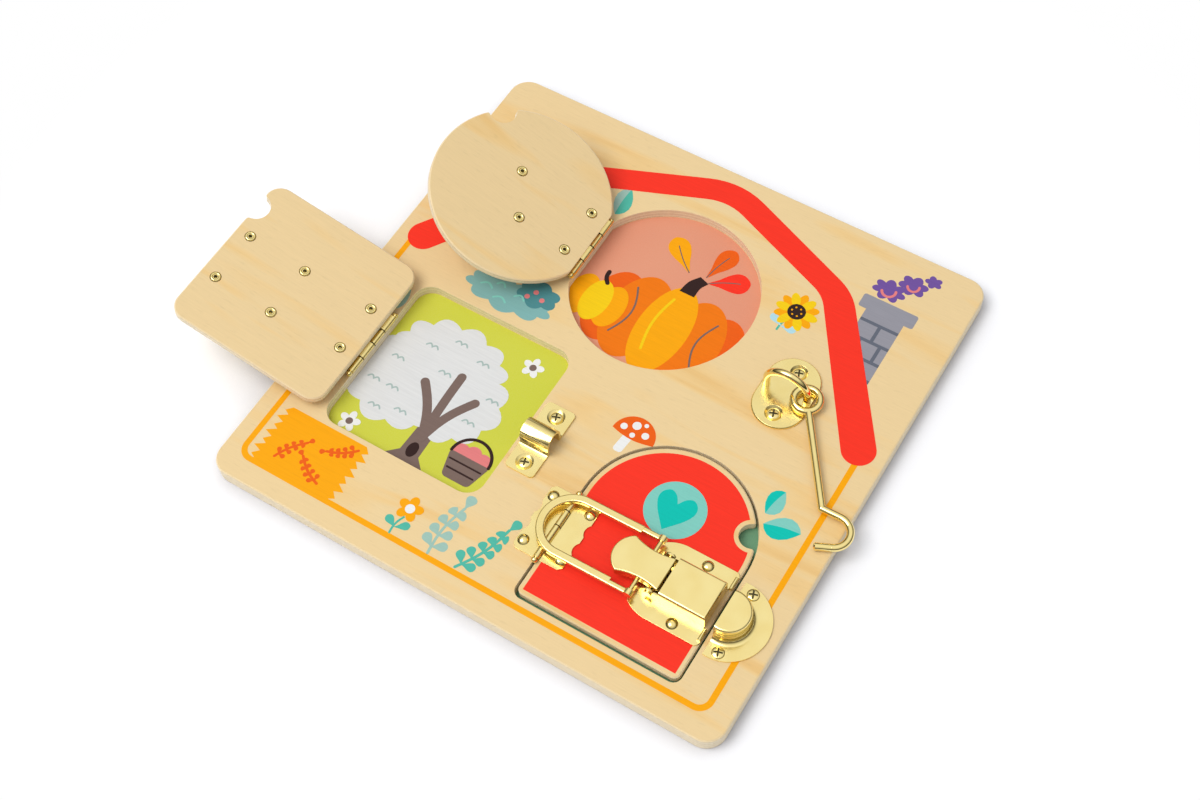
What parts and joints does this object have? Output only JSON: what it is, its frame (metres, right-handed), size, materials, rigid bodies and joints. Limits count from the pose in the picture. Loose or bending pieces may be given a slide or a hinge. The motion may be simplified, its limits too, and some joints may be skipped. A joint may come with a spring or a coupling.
{
  "type": "wooden latch busy board",
  "caption": "Square wooden barn busy board with hinged peep doors over printed recesses, fastened by a slide bolt, a wire hook with staples, and a draw latch.",
  "frame": {"origin": "centre of the board's flat back, on the surface it lies on", "axes": "+X to the right of the picture, +Y towards the top of the barn roof, +Z out of the printed face"},
  "size_m": [0.3685, 0.3, 0.0528],
  "materials": {
    "wood": "pale plywood, satin varnish, printed on the front",
    "brass": "polished pale brass plating",
    "lime_card": "printed card",
    "salmon_card": "printed card",
    "green_card": "printed card"
  },
  "bodies": {
    "board": {"back_board": "wood", "front_board": "wood", "square_picture": "lime_card", "round_picture": "salmon_card", "arched_picture": "green_card", "square_hinge_frame_leaf": "brass", "round_hinge_frame_leaf": "brass", "arched_hinge_frame_leaf": "brass", "square_hinge_pin": "brass", "round_hinge_pin": "brass", "arched_hinge_pin": "brass", "hinge_frame_rivets": "brass", "bolt_keeper": "brass", "keeper_screws": "brass", "hook_plate": "brass", "hook_staple": "brass", "hook_plate_screws": "brass", "catch": "brass", "catch_screws": "brass"},
    "square_door": {"square_door": "wood", "square_hinge_door_leaf": "brass", "square_hinge_rivets": "brass", "bolt_plate": "brass", "bolt_rivets": "brass"},
    "slide_bolt": {"bolt_rod": "brass", "bolt_knob": "brass"},
    "round_door": {"round_door": "wood", "round_hinge_door_leaf": "brass", "round_hinge_rivets": "brass", "eye_plate": "brass", "eye_staple": "brass", "eye_rivets": "brass"},
    "arched_door": {"arched_door": "wood", "arched_hinge_door_leaf": "brass", "arched_hinge_rivets": "brass", "latch_base": "brass", "latch_housing": "brass", "latch_rivets": "brass", "lever_pin": "brass"},
    "latch_lever": {"latch_lever": "brass"},
    "latch_bail": {"latch_bail": "brass"},
    "hook": {"hook": "brass"}
  },
  "joints": [
    {"name": "square_door_hinge", "type": "hinge", "parent": "board", "child": "square_door", "pos_m": [-0.1172, -0.0485, 0.01175], "axis": [0, 1, 0], "range_deg": [0, 167.7]},
    {"name": "bolt_slide", "type": "slide", "parent": "square_door", "child": "slide_bolt", "axis": [-0.977, 0, 0.213], "range_m": [0, 0.019]},
    {"name": "round_door_hinge", "type": "hinge", "parent": "board", "child": "round_door", "pos_m": [-0.049, 0.0636, 0.01175], "axis": [0, 1, 0], "range_deg": [0, 159.3]},
    {"name": "arched_door_hinge", "type": "hinge", "parent": "board", "child": "arched_door", "pos_m": [0.0254, -0.0901, 0.01175], "axis": [0, -1, 0], "range_deg": [0, 150]},
    {"name": "lever_lift", "type": "hinge", "parent": "arched_door", "child": "latch_lever", "pos_m": [0.0836, -0.0881, 0.0154], "axis": [0, -1, 0], "range_deg": [-85, 0]},
    {"name": "bail_swing", "type": "hinge", "parent": "latch_lever", "child": "latch_bail", "pos_m": [0.0757, -0.0881, 0.0167], "axis": [0, 1, 0], "range_deg": [0, 165]},
    {"name": "hook_swing", "type": "hinge", "parent": "board", "child": "hook", "pos_m": [0.0988, 0.0361, 0.0144], "axis": [0, 0, 1], "range_deg": [-105, 205]}
  ],
  "couplings": [
    {"joint": "bail_swing", "follows": "arched_door_hinge", "ratio": 1.1}
  ]
}
